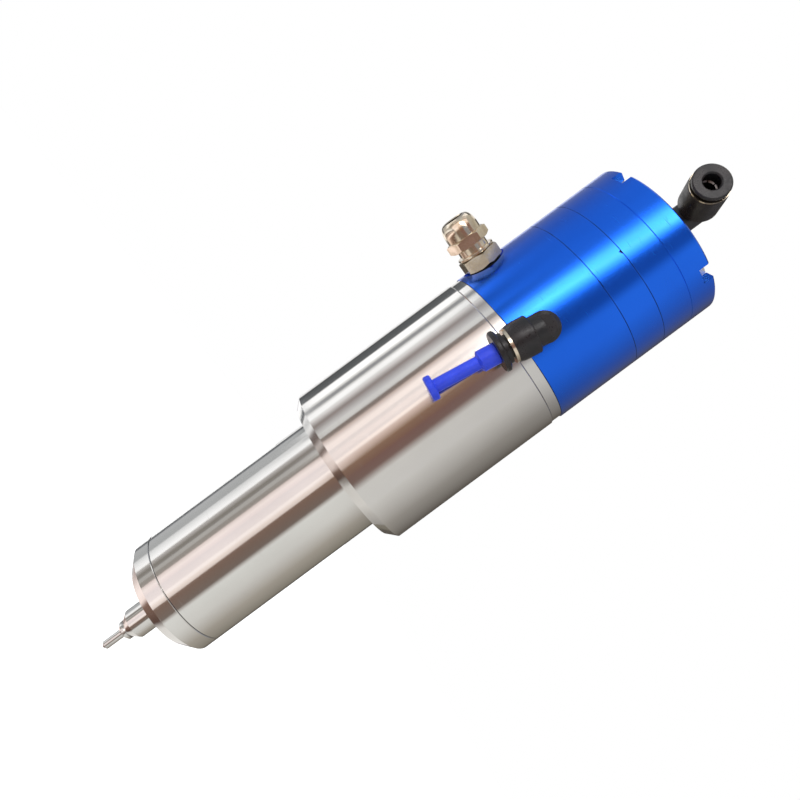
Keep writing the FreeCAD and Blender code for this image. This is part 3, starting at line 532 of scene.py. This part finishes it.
make_gland_body()
make_gland_nut()
make_gland_seat()
make_elbow_shell("side_shell", "side_elbow", SIDE_POINT, outward(0), SIDE_HEAD, SIDE_ELBOW)
make_elbow_shell("rear_shell", "rear_elbow", REAR_POINT, AXIS, REAR_HEAD, REAR_ELBOW)
make_side_stem()
make_cover_rim()
make_painted_nick_shade()


# Springs, which the piston presses shorter along the axis as it pushes the drawbar; here each only gets
# its own copy of its mesh


def press_spring(node):
    """Give a spring its own copy of its mesh, not shortened; its front end rests on a shoulder of its
    own body.
    """
    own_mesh(frame["nodes"][node])


press_spring("return_spring")
press_spring("disc_springs")


# Studio, in metres: floor, world, lamps, and long cards that only metal and gloss reflect

FLOOR_Z = -0.50
FLOOR_R = 2.5
FLOOR_TONE = 0.86
FLOOR_ROUGHNESS = 0.9
FLOOR_GLOW = 0.8
WORLD_TONE = (0.96, 0.98, 1.0)
WORLD_LEVEL = 0.55


def grey(level):
    """Tone without colour."""
    return (level, level, level)


def white_seen(tree):
    """1 for rays from the camera and for reflected and refracted rays, 0 for the rest."""
    path = tree.nodes.new("ShaderNodeLightPath")
    share = combined(tree, path.outputs["Is Camera Ray"], path.outputs["Is Glossy Ray"], "MAXIMUM")
    return combined(tree, share, path.outputs["Is Transmission Ray"], "MAXIMUM")


def make_floor():
    """Round pale floor that is white where it is lit and keeps shadows."""
    shape = bmesh.new()
    bmesh.ops.create_circle(shape, cap_ends=True, segments=96, radius=FLOOR_R)
    mesh = bpy.data.meshes.new("floor")
    shape.to_mesh(mesh)
    shape.free()
    floor = bpy.data.objects.new("floor", mesh)
    floor.location = (0, 0, FLOOR_Z)
    bpy.context.scene.collection.objects.link(floor)
    material, tree, shader = new_material("look_floor")
    shader.inputs["Base Color"].default_value = (*grey(FLOOR_TONE), 1)
    shader.inputs["Roughness"].default_value = FLOOR_ROUGHNESS
    shader.inputs["Specular IOR Level"].default_value = 0.0
    shader.inputs["Emission Color"].default_value = (1, 1, 1, 1)
    glow = spread(tree, white_seen(tree), 0, 1, 0, FLOOR_GLOW)
    tree.links.new(glow, shader.inputs["Emission Strength"])
    floor.data.materials.append(material)


def make_world():
    """White surroundings, and a softer level of light from them."""
    world = bpy.data.worlds.new("studio")
    world.use_nodes = True
    tree = world.node_tree
    seen = tree.nodes["Background"]
    seen.inputs["Color"].default_value = (1, 1, 1, 1)
    light = tree.nodes.new("ShaderNodeBackground")
    light.inputs["Color"].default_value = (*WORLD_TONE, 1)
    light.inputs["Strength"].default_value = WORLD_LEVEL
    mix = tree.nodes.new("ShaderNodeMixShader")
    tree.links.new(white_seen(tree), mix.inputs["Fac"])
    tree.links.new(light.outputs["Background"], mix.inputs[1])
    tree.links.new(seen.outputs["Background"], mix.inputs[2])
    tree.links.new(mix.outputs["Shader"], tree.nodes["World Output"].inputs["Surface"])
    bpy.context.scene.world = world


def lamp(name, place, size, power):
    """Square soft lamp aimed at the object; its own shape doesn't show in reflections."""
    light = bpy.data.lights.new(name, "AREA")
    light.shape = "SQUARE"
    light.size = size
    light.energy = power
    holder = bpy.data.objects.new(name, light)
    holder.location = place
    holder.rotation_euler = (-Vector(place)).to_track_quat("-Z", "Y").to_euler()
    holder.visible_glossy = False
    bpy.context.scene.collection.objects.link(holder)


CARD_R = 0.60
CARD_LOW = FLOOR_Z + 0.01
CARD_HIGH = 1.0
CARD_STEP = 3.0
INNER_R = 0.59
UPPER_FOOT = 0.135
UPPER_TOP = 0.45
UPPER_LEANS = (-8.0, 18.0)
LEAN_MIDDLE = -14.0
LEAN_REACH = 40.0
LOWER_TOP = -0.112
DISC_R = 0.58
DISC_STEPS = 48
STRIPES_REACH = 0.45
DISC_BELOW_Z = FLOOR_Z + 0.03
STRIPES_Z = FLOOR_Z + 0.04


def glowing_panel(name, shape, tones, material):
    """Panel from its mesh and the tone of each corner, seen only in reflections."""
    mesh = bpy.data.meshes.new(name)
    shape.to_mesh(mesh)
    shape.free()
    glow = mesh.attributes.new("glow", "FLOAT_COLOR", "POINT")
    for corner, tone in zip(glow.data, tones):
        corner.color = (*tone, 1)
    panel = bpy.data.objects.new(name, mesh)
    panel.data.materials.append(material)
    for ray in ("camera", "diffuse", "transmission", "shadow", "volume_scatter"):
        setattr(panel, "visible_" + ray, False)
    bpy.context.scene.collection.objects.link(panel)


def leaned(angle, lean):
    """Angle moved by the lean of the bright strips, which fades out to both sides of them."""
    return angle + lean * max(0, 1 - abs(angle - LEAN_MIDDLE) / LEAN_REACH)


def card(name, start, end, first, last, material,
         radius=CARD_R, foot=CARD_LOW, top=CARD_HIGH, leans=(0, 0)):
    """Curved card round the object, from one angle and tone to another."""
    steps = max(2, round((end - start) / CARD_STEP))
    shape = bmesh.new()
    tones = []
    sides = []
    for k in range(steps + 1):
        angle = start + (end - start) * k / steps
        low = outward(leaned(angle, leans[0])) * radius + AXIS * foot
        high = outward(leaned(angle, leans[1])) * radius + AXIS * top
        sides.append((shape.verts.new(low), shape.verts.new(high)))
        tones += [[a + (b - a) * k / steps for a, b in zip(first, last)]] * 2
    for near, far in zip(sides, sides[1:]):
        shape.faces.new((near[0], far[0], far[1], near[1]))
    glowing_panel(name, shape, tones, material)


def disc_card(name, height, middle, front, back, material):
    """Level round card above or below the object, with a tone for its middle and each edge."""
    shape = bmesh.new()
    rim = []
    tones = [middle]
    hub = shape.verts.new((0, 0, height))
    for k in range(DISC_STEPS):
        turn = 2 * math.pi * k / DISC_STEPS
        rim.append(shape.verts.new((DISC_R * math.sin(turn), -DISC_R * math.cos(turn), height)))
        share = 0.5 + 0.5 * math.cos(turn)
        tones.append([b + (a - b) * share for a, b in zip(front, back)])
    for k in range(DISC_STEPS):
        shape.faces.new((hub, rim[k], rim[(k + 1) % DISC_STEPS]))
    glowing_panel(name, shape, tones, material)


def striped_card(name, height, stripes, reach, material):
    """Level card below the object, in stripes that run away from the camera."""
    shape = bmesh.new()
    tones = []
    sides = []
    for x, tone in stripes:
        sides.append((shape.verts.new((x, -reach, height)), shape.verts.new((x, reach, height))))
        tones += [tone] * 2
    for near, far in zip(sides, sides[1:]):
        shape.faces.new((near[0], far[0], far[1], near[1]))
    glowing_panel(name, shape, tones, material)


def card_material():
    """Card whose tone is kept in its own attribute."""
    material, tree, _ = new_material("look_card")
    tone = tree.nodes.new("ShaderNodeAttribute")
    tone.attribute_name = "glow"
    emission = tree.nodes.new("ShaderNodeEmission")
    tree.links.new(tone.outputs["Color"], emission.inputs["Color"])
    tree.links.new(emission.outputs["Emission"], tree.nodes["Material Output"].inputs["Surface"])
    return material


# Angles from -Y towards +X. White strips and dark flags on the left of the camera, the
# dark room behind it, and a long fade into shade on the right.
CARDS = (
    ("flag_far_left", -152, -122, (0.105, 0.11, 0.115), (0.16, 0.17, 0.18)),
    ("strip_far_left", -121, -106, (1.60, 1.62, 1.66), (1.60, 1.62, 1.66)),
    ("flag_left", -102, -95, (0.40, 0.41, 0.43), (0.40, 0.41, 0.43)),
    ("strip_left", -92, -82.5, (1.48, 1.50, 1.54), (1.50, 1.52, 1.56)),
    ("grey_left", -81, -71, (1.20, 1.18, 1.20), (0.38, 0.33, 0.32)),
    ("grey_left_rise", -71, -58, (0.37, 0.31, 0.30), (0.92, 0.92, 0.94)),
    ("flag_near_left", -51, -45, (0.30, 0.24, 0.22), (0.31, 0.25, 0.22)),
    ("strip_start", -45, -38, (0.74, 0.58, 0.53), (1.32, 1.18, 1.14)),
    ("strip_first", -38, -31, (1.46, 1.30, 1.25), (1.42, 1.27, 1.23)),
    ("strip_second", -31, -26, (1.17, 1.05, 1.04), (1.20, 1.08, 1.06)),
    ("strip_third", -26, -20, (1.33, 1.17, 1.14), (1.31, 1.16, 1.13)),
    ("strip_fourth", -20, -16, (1.20, 1.06, 1.04), (1.22, 1.08, 1.06)),
    ("strip_last", -16, -12, (1.48, 1.31, 1.25), (1.42, 1.23, 1.14)),
    ("room_edge", -12, -1, (1.06, 0.84, 0.76), (0.42, 0.27, 0.19)),
    ("dark_room", -1, 9, (0.35, 0.21, 0.14), (0.29, 0.16, 0.12)),
    ("dark_room_far", 9, 20, (0.27, 0.15, 0.13), (0.27, 0.17, 0.15)),
    ("room_far_edge", 20, 29, (0.30, 0.20, 0.175), (0.82, 0.80, 0.78)),
    ("white_right", 29, 56, (0.87, 0.86, 0.84), (0.84, 0.83, 0.82)),
    ("fade_right", 56, 100, (0.83, 0.82, 0.80), (0.405, 0.385, 0.36)),
    ("shade_right", 100, 150, (0.405, 0.385, 0.36), (0.125, 0.110, 0.095)),
    ("shade_far_right", 150, 192, (0.125, 0.110, 0.095), (0.10, 0.09, 0.08)),
)
# Higher up, where only the coloured rings look
UPPER_CARDS = (
    ("upper_far_left", -152, -112, (0.34, 0.35, 0.38), (0.42, 0.44, 0.49)),
    ("upper_left", -112, -70, (0.42, 0.44, 0.49), (0.60, 0.66, 0.72)),
    ("upper_left_rise", -70, -42, (0.60, 0.66, 0.72), (0.72, 0.76, 0.80)),
    ("upper_glow", -42, -34, (0.76, 0.80, 0.84), grey(1.5)),
    ("upper_rise", -34, -28, grey(1.9), grey(4.2)),
    ("upper_strip", -28, -19, grey(5.8), grey(5.6)),
    ("upper_streak", -19, -14.5, grey(10.0), grey(8.5)),
    ("upper_edge", -14.5, -9, grey(5.2), grey(3.2)),
    ("upper_fall", -9, -2, grey(2.4), grey(0.66)),
    ("upper_room", -2, 24, (0.36, 0.38, 0.44), (0.34, 0.36, 0.42)),
    ("upper_room_edge", 24, 34, (0.40, 0.44, 0.50), (0.80, 0.82, 0.84)),
    ("upper_right", 34, 64, (0.82, 0.83, 0.84), (0.78, 0.79, 0.82)),
    ("upper_right_fade", 64, 105, (0.78, 0.79, 0.82), (0.40, 0.41, 0.44)),
    ("upper_right_shade", 105, 150, (0.40, 0.41, 0.44), (0.13, 0.12, 0.12)),
)
# Lower down, where only the slim nose looks
LOWER_CARDS = (
    ("lower_far_left", -152, -138, (0.09, 0.10, 0.11), (0.30, 0.31, 0.33)),
    ("lower_left", -138, -105, (0.62, 0.64, 0.66), (0.58, 0.60, 0.62)),
    ("lower_strip", -105, -83, (1.00, 1.02, 1.05), (1.52, 1.54, 1.58)),
    ("lower_grey", -81, -72, (0.74, 0.72, 0.71), (0.40, 0.37, 0.35)),
    ("lower_flag", -72, -64, (0.31, 0.29, 0.26), (0.35, 0.33, 0.31)),
    ("lower_rise", -64, -56, (0.62, 0.61, 0.59), (0.60, 0.58, 0.56)),
    ("lower_dark", -56, -47, (0.43, 0.40, 0.37), (0.45, 0.41, 0.38)),
    ("lower_start", -47, -38, (1.08, 0.93, 0.90), (1.42, 1.28, 1.26)),
    ("lower_first", -38, -31, (1.34, 1.18, 1.18), (1.24, 1.10, 1.10)),
    ("lower_second", -31, -16, (1.18, 1.07, 1.09), (1.26, 1.14, 1.14)),
    ("lower_third", -16, -10, (1.46, 1.34, 1.32), (1.40, 1.28, 1.26)),
    ("lower_edge", -10, -2, (1.34, 1.18, 1.12), (1.04, 0.90, 0.84)),
    ("lower_room", -2, 24, (0.28, 0.18, 0.14), (0.235, 0.185, 0.16)),
    ("lower_room_edge", 24, 30, (0.40, 0.36, 0.33), (0.92, 0.91, 0.89)),
    ("lower_right", 30, 60, (0.98, 0.99, 0.97), (0.88, 0.875, 0.85)),
    ("lower_fade", 60, 100, (0.88, 0.875, 0.85), (0.50, 0.465, 0.41)),
    ("lower_shade", 100, 150, (0.50, 0.465, 0.41), (0.24, 0.22, 0.18)),
)
# Below, across the view: what the bevels at the shoulder and the nose reflect
STRIPES = (
    (-0.400, (0.30, 0.31, 0.32)), (-0.335, (0.95, 0.96, 0.98)), (-0.300, (1.40, 1.42, 1.45)),
    (-0.285, (0.42, 0.42, 0.43)), (-0.262, (1.50, 1.52, 1.55)), (-0.245, (1.20, 1.20, 1.22)),
    (-0.232, (0.20, 0.16, 0.15)), (-0.190, (0.20, 0.15, 0.135)), (-0.172, (0.75, 0.68, 0.66)),
    (-0.150, (0.70, 0.63, 0.60)), (-0.138, (0.22, 0.17, 0.15)), (-0.122, (0.30, 0.22, 0.20)),
    (-0.105, (1.25, 1.08, 1.03)), (-0.075, (1.40, 1.22, 1.18)), (-0.048, (1.30, 1.10, 1.04)),
    (-0.030, (0.30, 0.18, 0.14)), (0.055, (0.12, 0.07, 0.055)), (0.085, (0.95, 0.93, 0.90)),
    (0.200, (0.95, 0.93, 0.90)), (0.270, (0.66, 0.64, 0.61)), (0.350, (0.42, 0.40, 0.38)),
    (0.560, (0.22, 0.21, 0.20)),
)

make_floor()
make_world()
lamp("key_lamp", (-0.55, -0.50, 0.35), size=0.5, power=3.6)
lamp("top_lamp", (0.25, 0.30, 0.90), size=0.6, power=2.6)
lamp("front_lamp", (0.35, -0.80, 0.05), size=0.6, power=1.6)
card_look = card_material()
for name, start, end, first, last in CARDS:
    card(name, start, end, first, last, card_look)
for name, start, end, first, last in UPPER_CARDS:
    card(name, start, end, first, last, card_look, INNER_R, UPPER_FOOT, UPPER_TOP, UPPER_LEANS)
for name, start, end, first, last in LOWER_CARDS:
    card(name, start, end, first, last, card_look, INNER_R, top=LOWER_TOP)
disc_card("disc_below", DISC_BELOW_Z, grey(0.40), grey(0.45), (0.95, 0.90, 0.90), card_look)
striped_card("stripes_below", STRIPES_Z, STRIPES, STRIPES_REACH, card_look)
disc_card("disc_above", CARD_HIGH, (0.56, 0.55, 0.50), grey(0.50), (0.60, 0.58, 0.52), card_look)


# Camera of the photograph
FOCAL_PIXELS = 742.0
FRAME_PIXELS = 800.0
CENTRE_X = 373.8
CENTRE_Y = 339.9
SENSOR = 36.0
EYE = Vector((-10.05, -274.2, -3.01)) * MM
# Right and down in the picture, and into it, before the small turn about the spindle's axis
RIGHT = (0.5903965, 0.0589221, 0.80495973)
DOWN = (0.79885347, 0.09965834, -0.59321274)
INTO = (-0.11517429, 0.99327559, 0.01176781)
SPINDLE_TURN = math.radians(2.1)

turn_back = Matrix.Rotation(-SPINDLE_TURN, 3, "Z")
right = turn_back @ Vector(RIGHT)
down = turn_back @ Vector(DOWN)
into = turn_back @ Vector(INTO)
lens = bpy.data.cameras.new("photo_camera")
lens.sensor_width = SENSOR
lens.lens = FOCAL_PIXELS / FRAME_PIXELS * SENSOR
lens.shift_x = (FRAME_PIXELS / 2 - CENTRE_X) / FRAME_PIXELS
lens.shift_y = (CENTRE_Y - FRAME_PIXELS / 2) / FRAME_PIXELS
lens.clip_start = 0.01
lens.clip_end = 20.0
camera = bpy.data.objects.new("photo_camera", lens)
camera.matrix_world = Matrix((
    (right.x, -down.x, -into.x, EYE.x),
    (right.y, -down.y, -into.y, EYE.y),
    (right.z, -down.z, -into.z, EYE.z),
    (0, 0, 0, 1),
))
bpy.context.scene.collection.objects.link(camera)
bpy.context.scene.camera = camera
bpy.context.scene.view_settings.view_transform = "Standard"
